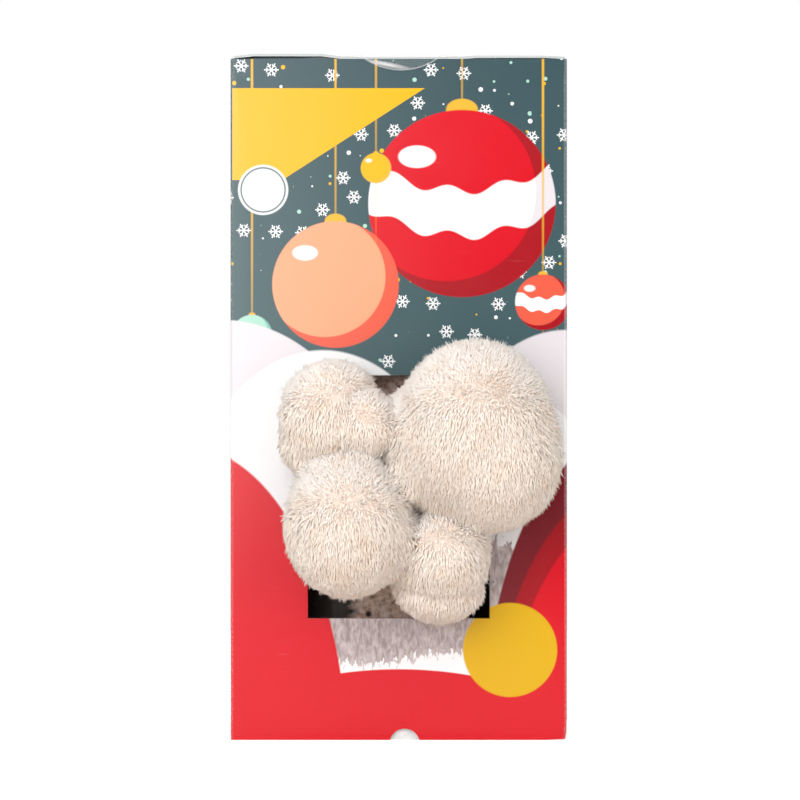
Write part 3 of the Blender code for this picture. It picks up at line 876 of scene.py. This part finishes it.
def seal_film():
    """Clear label film pressed on by hand, with a painted highlight along its cut rim and one
    painted streak of sheen on its front.
    """
    name = "clear polypropylene label film"
    material = clear_film(name, 0.03, "#f4f6f6", 0.10, 6 * MM, 0.05 * MM)
    tree = material.node_tree
    shader = tree.nodes["Principled BSDF"]
    place = add(tree, "TexCoord").outputs["Object"]
    place = add(tree, "VectorMath", {0: place, "Scale": 1 / MM}, operation="SCALE")
    x, y, z = add(tree, "SeparateXYZ", [place]).outputs
    flat = add(tree, "CombineXYZ", [x, add(tree, "Math", [y, z], operation="ADD")])
    middle = (
        (SEAL_LOW.x + SEAL_HIGH.x) / 2 / MM,
        (SEAL_HIGH.y + SEAL_HIGH.z - SEAL_RADIUS) / MM,
    )
    whole = ellipse(tree, flat, middle, (SEAL_RADIUS / MM - SEAL_RIM,) * 2)
    # Painted highlight: the film turns pale and less clear in a band along its cut rim.
    rim_highlight = add(tree, "Math", [RIM_HIGHLIGHT_VEIL, whole], operation="SUBTRACT", use_clamp=True)
    # Painted sheen: one whitish streak on the seal's front, where the film is made whiter.
    centre, radii, tilt = SHEEN_STREAK
    upright = add(tree, "CombineXYZ", [x, z])
    turn = {"Vector": upright, "Center": (*centre, 0), "Angle": -tilt}
    turned = add(tree, "VectorRotate", turn, rotation_type="Z_AXIS")
    streak = ellipse(tree, turned, centre, radii, edge=0.5)
    on_front = add(tree, "Math", [y, FRONT_Y / MM + 1], operation="LESS_THAN")
    painted_sheen = both(tree, both(tree, streak, on_front), SHEEN_STREAK_VEIL)
    seen = add(tree, "Math", [rim_highlight, painted_sheen], operation="MAXIMUM")
    veil = shader.inputs["Alpha"].links[0].from_socket
    feed(shader, {"Alpha": add(tree, "Math", [veil, seen], operation="MAXIMUM")})
    return material


seal = copy_of_solid("clear_seal", "round_seal")
seal.data.materials.append(seal_film())
make_active(seal)
bpy.ops.object.shade_smooth_by_angle(angle=math.radians(30))
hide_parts("clear_seal")
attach(seal, "lid")

# %% [markdown]
# ## The sawdust block
#
# Behind the window stands a pressed block of wet hardwood sawdust, bound by white fungus threads.
# Its skin is crumbly, so the copy of the frame's solid is remeshed into even faces and pushed in
# and out by two procedural cloud patterns, one for dents and one for crumbs.

# %% Block
CRUMB_VOXEL = 2.2 * MM
DENTS = (("dents", 14 * MM, 1.6 * MM), ("crumbs", 3.2 * MM, 0.7 * MM))

block = copy_of_solid("substrate_block", "sawdust_block")
shape_with(block, "REMESH", "even faces", mode="VOXEL", voxel_size=CRUMB_VOXEL)
for name, size, height in DENTS:
    clouds = bpy.data.textures.new(name, "CLOUDS")
    clouds.noise_scale = size
    inwards = {"texture": clouds, "texture_coords": "LOCAL", "mid_level": 1.0}
    shape_with(block, "DISPLACE", name, strength=height, **inwards)
block.data.shade_smooth()


def wet_sawdust():
    """Wet oak sawdust with fungus threads: dark crumbs and paler webbed patches, with painted shade
    in near black down both sides.
    """
    material, tree, shader = new_material("wet sawdust laced with fungus threads")
    place = add(tree, "TexCoord").outputs["Object"]
    crumbs = {"Vector": place, "Scale": 1 / (2.2 * MM), "Detail": 6.0, "Roughness": 0.65}
    crumbs = add(tree, "TexNoise", crumbs)
    stops = ((0.28, "#5a4038"), (0.42, "#b39485"), (0.58, "#dcc2b4"), (0.80, "#efe2da"))
    brown = set_stops(add(tree, "ValToRGB", {"Fac": crumbs}), stops)
    webs = {"Vector": place, "Scale": 1 / (11 * MM), "Detail": 4.0, "Distortion": 1.2}
    webs = add(tree, "TexNoise", webs)
    webbed = {"Value": webs, "From Min": 0.50, "From Max": 0.66, "To Max": 0.55}
    brown = lay(tree, brown, "#eaddd6", add(tree, "MapRange", webbed))
    pits = add(tree, "TexVoronoi", {"Vector": place, "Scale": 1 / (9 * MM)})
    pit = add(tree, "MapRange", {"Value": pits, "From Min": 0.20, "From Max": 0.10})
    brown = lay(tree, brown, "#120b0a", pit)
    # Painted shade: near black down both sides of the block, where it turns away behind the
    # window's edges.
    x = add(tree, "SeparateXYZ", [place]).outputs["X"]
    wander = add(tree, "Math", [webs, 16 * MM, -8 * MM], operation="MULTIPLY_ADD")
    ragged = add(tree, "Math", [off_line(tree, x, 4 * MM), wander], operation="ADD")
    painted_side_shade = add(tree, "MapRange", {"Value": ragged, "From Min": 19 * MM, "From Max": 25 * MM})
    brown = lay(tree, brown, "#050303", painted_side_shade)
    bump = add(tree, "Bump", {"Height": crumbs, "Strength": 0.9, "Distance": 0.6 * MM})
    feed(shader, {"Base Color": brown, "Roughness": 0.85, "Normal": bump})
    feed(shader, {"Specular IOR Level": 0.2})
    return material


block.data.materials.append(wet_sawdust())
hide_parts("substrate_block")
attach(block, "carton")
print("the block has", len(block.data.polygons), "faces")

# %% [markdown]
# ## The grow bag
#
# The block grows in a clear film bag. It clings to the block with upright puckers, and it is cut
# open behind the window. Displacing such a thin film along its normals would tear its two faces
# apart, so both are moved by the same smooth field, away from the block's upright axis.

# %% Bag
PUCKER_WIDTH = 7 * MM
PUCKER_LENGTH = 30 * MM
PUCKER_HEIGHT = 0.55 * MM
PUCKER_LIFT = 0.20 * MM
BAG_LOW, BAG_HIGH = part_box("grow_bag")

bag = copy_of_solid("grow_bag", "clear_grow_bag")
cut_into_strips(bag, BAG_LOW, BAG_HIGH)
for vertex in bag.data.vertices:
    away = Vector((vertex.co.x, vertex.co.y, 0)).normalized()
    spot = Vector(
        (vertex.co.x / PUCKER_WIDTH, vertex.co.y / PUCKER_WIDTH, vertex.co.z / PUCKER_LENGTH)
    )
    vertex.co += away * (PUCKER_LIFT + PUCKER_HEIGHT * noise.noise(spot))
bag.data.materials.append(
    clear_film("clear polyethylene film", 0.03, "#a08a80", 0.12, 9 * MM, 0.8 * MM)
)
make_active(bag)
bpy.ops.object.shade_smooth_by_angle(angle=math.radians(50))
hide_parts("grow_bag")
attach(bag, "carton")
print("the bag has", len(bag.data.polygons), "faces")

# %% [markdown]
# ## The fruit bodies
#
# A lion's mane has no cap: each body is a soft ball covered all over with spines, which hang like
# icicles because each one grows straight down. On the crown they are short and stand up in all
# directions, on the flanks they bend over and lie on each other like thatch, and underneath they
# end in a fringe.
#
# Hair curves would be quick, but they are lost on export. So each spine is a slim three-sided
# spindle of six triangles: a root point, a ring where it bends, and a tip. All the spines of a
# body are built at once as arrays of numbers, and joined to a smooth core that starts from a copy
# of the frame's solid.

# %% The core of a fruit body
FRUIT_BODIES = (
    "fruit_body_upper_right",
    "fruit_body_lower_left",
    "fruit_body_upper_left",
    "fruit_body_lower_right",
)
CORE_VOXEL = 1.7 * MM
CORE_SMOOTHING = {"fruit_body_upper_right": 26}
LEAST_SMOOTHING = 8
CORE_SHRINK = 0.5 * MM


def grow_core(node):
    """A smooth closed core: the solid's own mesh, remeshed, with its coarse spines melted away."""
    core = copy_of_solid(node, node.replace("fruit_body", "shaggy_body"))
    shape_with(core, "REMESH", "even skin", mode="VOXEL", voxel_size=CORE_VOXEL)
    rounds = CORE_SMOOTHING.get(node, LEAST_SMOOTHING)
    shape_with(core, "SMOOTH", "melt the coarse spines", factor=0.6, iterations=rounds)
    for vertex in core.data.vertices:
        vertex.co -= vertex.normal * CORE_SHRINK
    core.data.shade_smooth()
    return core


cores = {node: grow_core(node) for node in FRUIT_BODIES}
for node, core in cores.items():
    print(node, "core:", len(core.data.polygons), "faces")

# %% [markdown]
# The solids stand clear of each other, as the frame's rules ask, but the real bodies have grown
# until they press flat against each other. So skin that faces a near neighbour is pushed towards
# it, half of the gap each. And where a lobe bulges out of its own body, a crease is drawn in
# round it: skin just outside the lobe's ellipsoid moves in a little.

# %% Press the bodies together and crease their lobes
PRESS_REACH = 9.0 * MM
PRESS_GAP = 0.7 * MM
PRESS_ROUNDS = 2
DARK_CREVICE = (7.5 * MM, 93.0 * MM)
CREVICE_OPEN, CREVICE_SHUT = 2.5 * MM, 6.0 * MM
CREASE_EDGE, CREASE_FLOOR, CREASE_END = 0.6 * MM, 1.2 * MM, 5.0 * MM
CREASED_LOBES = {
    "fruit_body_upper_left": ((-10.8, -77, 123.5), (14.4, 16, 14.4), 1.5),
    "fruit_body_lower_right": ((17.2, -71.5, 76), (20.6, 20, 19.6), 1.5),
}


def smooth_step(low, high, value):
    share = np.clip((value - low) / (high - low), 0, 1)
    return share * share * (3 - 2 * share)


def skin_tree(core):
    mesh = core.data
    return BVHTree.FromPolygons([v.co for v in mesh.vertices], [p.vertices for p in mesh.polygons])


def crease_round_lobe(core, centre, radii, crease_depth):
    """Moves the skin that lies just outside an ellipsoid inwards, most at the ellipsoid's edge."""
    centre = Vector(centre) * MM
    mean_radius = sum(radii) / 3 * MM
    for vertex in core.data.vertices:
        offset = vertex.co - centre
        share = math.sqrt(sum((offset[axis] / (radii[axis] * MM)) ** 2 for axis in range(3)))
        outside = (share - 1) * mean_radius
        depth = smooth_step(-CREASE_EDGE, CREASE_EDGE, outside)
        depth *= smooth_step(CREASE_END, CREASE_FLOOR, outside)
        vertex.co -= vertex.normal * float(depth) * crease_depth * MM


def press_against(core, trees):
    """Moves skin that faces a near body half of the way to it, except at the one open crevice."""
    for vertex in core.data.vertices:
        aside = math.hypot(vertex.co.x - DARK_CREVICE[0], vertex.co.z - DARK_CREVICE[1])
        pressed = smooth_step(CREVICE_OPEN, CREVICE_SHUT, aside)
        for tree in trees:
            spot, _, _, distance = tree.find_nearest(vertex.co, PRESS_REACH)
            if spot is not None and distance > PRESS_GAP:
                towards = (spot - vertex.co).normalized()
                share = pressed * smooth_step(0.0, 0.55, towards.dot(vertex.normal))
                share *= smooth_step(PRESS_REACH, 0.6 * PRESS_REACH, distance)
                vertex.co += towards * float(share) * (distance - PRESS_GAP) / 2


for node, lobe in CREASED_LOBES.items():
    crease_round_lobe(cores[node], *lobe)
trees = {node: skin_tree(core) for node, core in cores.items()}
for _ in range(PRESS_ROUNDS):
    for node, core in cores.items():
        press_against(core, [tree for other, tree in trees.items() if other != node])
        core.data.update()
    trees = {node: skin_tree(core) for node, core in cores.items()}
print(len(CREASED_LOBES), "bodies creased,", len(cores), "pressed together")

# %% [markdown]
# Roots are scattered by dart throwing: random points on the skin, each kept only if no kept point
# is nearer than the spacing. A plain random scatter would leave bald spots and crowds, and a
# regular grid would show as rows. They stand closest on the crown, where new spines push through.

# %% Scatter the spines' roots
CROWN_SPACING = 0.46 * MM
FLANK_SPACING = 0.515 * MM
DARTS_PER_SPINE = 5
BARE_BACK = 1.6 * MM
rng = np.random.default_rng(29)


def thin_out(places, spacing):
    """The places that are kept, in random order, so that each has its own spacing round it."""
    tree = kdtree.KDTree(len(places))
    for index, place in enumerate(places):
        tree.insert(place, index)
    tree.balance()
    free = np.ones(len(places), dtype=bool)
    kept = []
    for index in rng.permutation(len(places)):
        if free[index]:
            kept.append(index)
            for _, other, _ in tree.find_range(places[index], spacing[index]):
                free[other] = False
    return np.array(kept)


def scatter_roots(core):
    """Evenly spaced points on the core's open side, with the smooth normal at each."""
    mesh = core.data
    mesh.calc_loop_triangles()
    points = np.empty((len(mesh.vertices), 3))
    normals = np.empty((len(mesh.vertices), 3))
    triangles = np.empty((len(mesh.loop_triangles), 3), dtype=np.int32)
    mesh.vertices.foreach_get("co", points.ravel())
    mesh.vertices.foreach_get("normal", normals.ravel())
    mesh.loop_triangles.foreach_get("vertices", triangles.ravel())
    corners = points[triangles]
    sides = np.cross(corners[:, 1] - corners[:, 0], corners[:, 2] - corners[:, 0])
    areas = np.linalg.norm(sides, axis=1) / 2
    areas = np.where(corners[:, :, 1].max(axis=1) < FRONT_Y - BARE_BACK, areas, 0)
    darts = int(DARTS_PER_SPINE * areas.sum() / FLANK_SPACING**2)
    chosen = rng.choice(len(areas), size=darts, p=areas / areas.sum())
    mix = rng.random((darts, 2))
    mix = np.where(mix.sum(axis=1, keepdims=True) > 1, 1 - mix, mix)
    weights = np.column_stack((1 - mix.sum(axis=1), mix))
    places = np.einsum("ij,ijk->ik", weights, points[triangles[chosen]])
    facing = unit(np.einsum("ij,ijk->ik", weights, normals[triangles[chosen]]))
    kept = thin_out(places, np.interp(facing[:, 2], (0.1, 0.6), (FLANK_SPACING, CROWN_SPACING)))
    return places[kept], facing[kept]


def unit(vectors):
    return vectors / np.maximum(np.linalg.norm(vectors, axis=1, keepdims=True), 1e-9)


roots = {node: scatter_roots(core) for node, core in cores.items()}
for node, (places, facing) in roots.items():
    print(node, "carries", len(places), "spines")

# %% [markdown]
# How far a spine leans down depends on where it grows: hardly at all on the crown, where spines
# are short and point any way, and nearly straight down on the flanks. Tips lean towards the
# middle of their tuft, because damp spines cling together. Where two bodies press on each other,
# spines can't grow into the neighbour, so they turn out of the crease and fill it.
#
# Lit one by one, so many thin spines would look like wire. Real spines glow into one another, so
# their shading normals are turned most of the way to the skin's own normal, and in a crease out of
# it: each spine is then lit nearly as the ball under it is, and the eye sees soft fur.

# %% How long the spines are and which way they hang
CROWN_LENGTH = 2.4 * MM
SHOULDER_LENGTH = 2.8 * MM
FLANK_LENGTH = 3.5 * MM
LOW_FLANK_LENGTH = 2.8 * MM
UNDERSIDE_LENGTH = 1.9 * MM
LENGTH_SPREAD = (0.75, 1.20)
UPRIGHT_ABOVE, HANGING_BELOW = 0.62, -0.05
BEND_AT = 0.5
CLEAR_OF_BOARD = 0.7 * MM
PRESSED_ZONE = 6 * MM
TUFT_SPACING = 1.1 * MM
TUFT_PULL = 0.32
PULL_SPREAD = (0.3, 1.5)
TUFT_REACH = 0.30
TUFT_RISE = 1.1 * MM
TUFT_RARITY = 6
CROWN_SWAY = 0.34
FLANK_SWAY = 0.12
LEAST_LIFT = 0.30
DOWN = np.array([0.0, 0.0, -1.0])


def nearest_neighbour(node, places, longest):
    """How far each place is from the nearest other body, and which way that body lies."""
    room = np.full(len(places), longest)
    towards = np.zeros((len(places), 3))
    for other in FRUIT_BODIES:
        if other != node:
            for index, place in enumerate(places):
                spot, _, _, distance = trees[other].find_nearest(place, room[index])
                if spot is not None:
                    room[index] = distance
                    towards[index] = np.array(spot) - place
    return room, unit(towards)


def pull_into_tufts(places, tips, pull, facing, free):
    """Moves tips towards the middle of their tuft, the roots nearest to one kept root, and lets a
    few tufts stand out of the coat, which gives the outline its teeth."""
    middles = thin_out(places, np.full(len(places), TUFT_SPACING))
    tree = kdtree.KDTree(len(middles))
    for number, middle in enumerate(middles):
        tree.insert(places[middle], number)
    tree.balance()
    owner = np.array([tree.find(place)[1] for place in places])
    counts = np.bincount(owner, minlength=len(middles))[:, None]
    sums = [np.bincount(owner, tips[:, axis], len(middles)) for axis in range(3)]
    means = np.stack(sums, axis=1) / counts
    tips = tips + (means[owner] - tips) * pull
    outstanding = rng.random((len(middles), 1))[owner] ** TUFT_RARITY * free
    return tips + ((tips - places) * TUFT_REACH + facing * TUFT_RISE) * outstanding


def spine_lines(node, places, facing):
    """The bend and the tip of every spine, worked out from where it grows and what is near."""
    count = len(places)
    slope = facing[:, 2]
    hang = smooth_step(UPRIGHT_ABOVE, HANGING_BELOW, slope)[:, None]
    length = np.interp(
        slope,
        (-0.9, -0.45, 0.05, 0.45, 0.95),
        (UNDERSIDE_LENGTH, LOW_FLANK_LENGTH, FLANK_LENGTH, SHOULDER_LENGTH, CROWN_LENGTH),
    )
    length *= rng.uniform(*LENGTH_SPREAD, count)
    sway = rng.normal(0, 1, (count, 3)) * (CROWN_SWAY + (FLANK_SWAY - CROWN_SWAY) * hang)
    fall = unit(facing * (1 - 0.85 * hang) + DOWN * (0.08 + hang) + sway)
    lift = np.maximum(LEAST_LIFT - (fall * facing).sum(axis=1), 0)[:, None]
    fall = unit(fall + facing * lift)
    room, towards = nearest_neighbour(node, places, PRESSED_ZONE)
    near = smooth_step(PRESSED_ZONE, 0.3 * PRESSED_ZONE, room)[:, None]
    inwards = np.maximum((fall * towards).sum(axis=1), 0)[:, None]
    fall = unit(fall + (facing * 0.55 - towards * inwards * 0.45) * near)
    inwards = np.maximum((fall * towards).sum(axis=1), 0.15)
    length *= 1 + 0.4 * near.ravel()
    length = np.minimum(length, room / inwards)[:, None]
    rise = unit(fall + facing * 0.35 * hang)
    bends = places + rise * BEND_AT * length
    tips = bends + fall * (1 - BEND_AT) * length
    pull = TUFT_PULL * rng.uniform(*PULL_SPREAD, (count, 1))
    tips = pull_into_tufts(places, tips, pull, facing, 1 - near)
    bends[:, 1] = np.minimum(bends[:, 1], FRONT_Y - CLEAR_OF_BOARD)
    tips[:, 1] = np.minimum(tips[:, 1], FRONT_Y - CLEAR_OF_BOARD)
    inwards = np.maximum((facing * towards).sum(axis=1), 0)[:, None]
    lit_from = unit(facing - towards * inwards * 0.7 * near)
    return bends, tips, hang, lit_from


# %% Build a body's spines as one mesh
SIDES = 3
RING_RADIUS = 0.255 * MM
RADIUS_SPREAD = (0.82, 1.18)
SINK = 0.5 * MM
SPINE_ROUNDNESS = 0.36


def grow_spines(node, places, facing):
    """All the spines of one body as one mesh: three-sided spindles, pointed at both ends."""
    count = len(places)
    bends, tips, hang, lit_from = spine_lines(node, places, facing)
    along = unit(tips - places)
    across = unit(np.cross(along, rng.normal(0, 1, (count, 3))))
    over = np.cross(along, across)
    turns = np.arange(SIDES) * 2 * math.pi / SIDES
    ring = np.cos(turns)[None, :, None] * across[:, None, :]
    ring = ring + np.sin(turns)[None, :, None] * over[:, None, :]
    radius = RING_RADIUS * rng.uniform(*RADIUS_SPREAD, (count, 1, 1))
    root = (places - facing * SINK)[:, None, :]
    points = np.concatenate((root, bends[:, None, :] + ring * radius, tips[:, None, :]), axis=1)
    points = points.reshape(-1, 3)

    per_spine = SIDES + 2
    pattern = []
    for side in range(SIDES):
        this, following = 1 + side, 1 + (side + 1) % SIDES
        pattern.append((0, following, this))
        pattern.append((this, following, per_spine - 1))
    faces = np.array(pattern)[None] + (np.arange(count) * per_spine)[:, None, None]
    faces = faces.reshape(-1, 3)

    mesh = bpy.data.meshes.new(f"{node}_spines")
    mesh.vertices.add(len(points))
    mesh.vertices.foreach_set("co", points.ravel())
    mesh.loops.add(faces.size)
    mesh.loops.foreach_set("vertex_index", faces.ravel())
    mesh.polygons.add(len(faces))
    mesh.polygons.foreach_set("loop_start", np.arange(0, faces.size, 3))
    mesh.update(calc_edges=True)
    reach = np.tile([0.0] + [BEND_AT] * SIDES + [1.0], count)
    tint = np.repeat(rng.random(count), per_spine)
    hanging = np.repeat(hang.ravel(), per_spine)
    for name, values in (("reach", reach), ("tint", tint), ("hang", hanging)):
        mesh.attributes.new(name, "FLOAT", "POINT").data.foreach_set("value", values)
    mesh.shade_smooth()
    ends = np.zeros((count, 1, 3))
    round_way = np.concatenate((ends, ring, ends), axis=1)
    shading = lit_from[:, None, :] + SPINE_ROUNDNESS * round_way
    mesh.normals_split_custom_set_from_vertices(unit(shading.reshape(-1, 3)).tolist())
    spines = bpy.data.objects.new(f"{node}_spines", mesh)
    bpy.context.scene.collection.objects.link(spines)
    return spines


# %% [markdown]
# ## Fungus flesh
#
# Fresh spines are cream white, matt and slightly see-through, so light that goes in comes out
# warmer. Here that is painted shade: the colour runs from peach at the root, where little light
# reaches, to near white at the tip. The hanging spines of the flanks and underside are painted a
# little warmer than the crown, as painted shade, and here and there a tip is stained orange where a
# drop has dried.

# %% Flesh material
# Painted shade: the stops run from darker peach at the root to near white at the tip.
FLESH_AND_ROOT_SHADE = ((0.0, "#f3e1d3"), (0.30, "#f8e8dc"), (0.60, "#fdf5ee"), (1.0, "#fdf9f4"))
DRIED_TIP = "#efb793"
DRIED_FROM = 0.997


def flesh_of_spines():
    """Fresh lion's mane flesh: matt and cream white, with painted shade that is warmer and darker
    towards the roots and on the hanging spines.
    """
    material, tree, shader = new_material("fresh lion's mane flesh")
    reach, tint, hang = (
        add(tree, "Attribute", attribute_name=name).outputs["Fac"]
        for name in ("reach", "tint", "hang")
    )
    place = add(tree, "TexCoord").outputs["Object"]
    cream = set_stops(add(tree, "ValToRGB", {"Fac": reach}), FLESH_AND_ROOT_SHADE)
    patches = add(tree, "TexNoise", {"Vector": place, "Scale": 1 / (9 * MM), "Detail": 3.0})
    blotch = add(tree, "MapRange", {"Value": patches, "From Min": 0.48, "From Max": 0.72})
    # The blotches are random tone. The tint by hang is painted shade, a little warmer on the flanks
    # and undersides.
    for mask, colour in ((blotch, "#fcf6f0"), (hang, "#fefaf5")):
        toning = {0: mask, 6: cream, 7: linear(colour)}
        cream = add(tree, "Mix", toning, data_type="RGBA", blend_type="MULTIPLY")
    dried = add(tree, "Math", [tint, DRIED_FROM], operation="GREATER_THAN")
    tip = add(tree, "MapRange", {"Value": reach, "From Min": 0.45, "From Max": 0.75})
    specked = lay(tree, cream, DRIED_TIP, both(tree, dried, tip))
    shade = add(tree, "MapRange", {"Value": tint, "To Min": 0.95, "To Max": 1.0})
    toned = add(tree, "VectorMath", {0: specked, "Scale": shade}, operation="SCALE")
    feed(shader, {"Base Color": toned, "Roughness": 0.65, "Specular IOR Level": 0.25})
    return material


# %% Join spines and core into each fruit body
flesh = flesh_of_spines()
for node, core in cores.items():
    spines = grow_spines(node, *roots[node])
    make_active(core)
    spines.select_set(True)
    bpy.ops.object.join()
    core.data.materials.clear()
    core.data.materials.append(flesh)
    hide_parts(node)
    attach(core, "carton")
    triangles = sum(len(face.vertices) - 2 for face in core.data.polygons)
    print(core.name, "has", triangles, "triangles")

# %% Leave nothing selected
deselect_all()
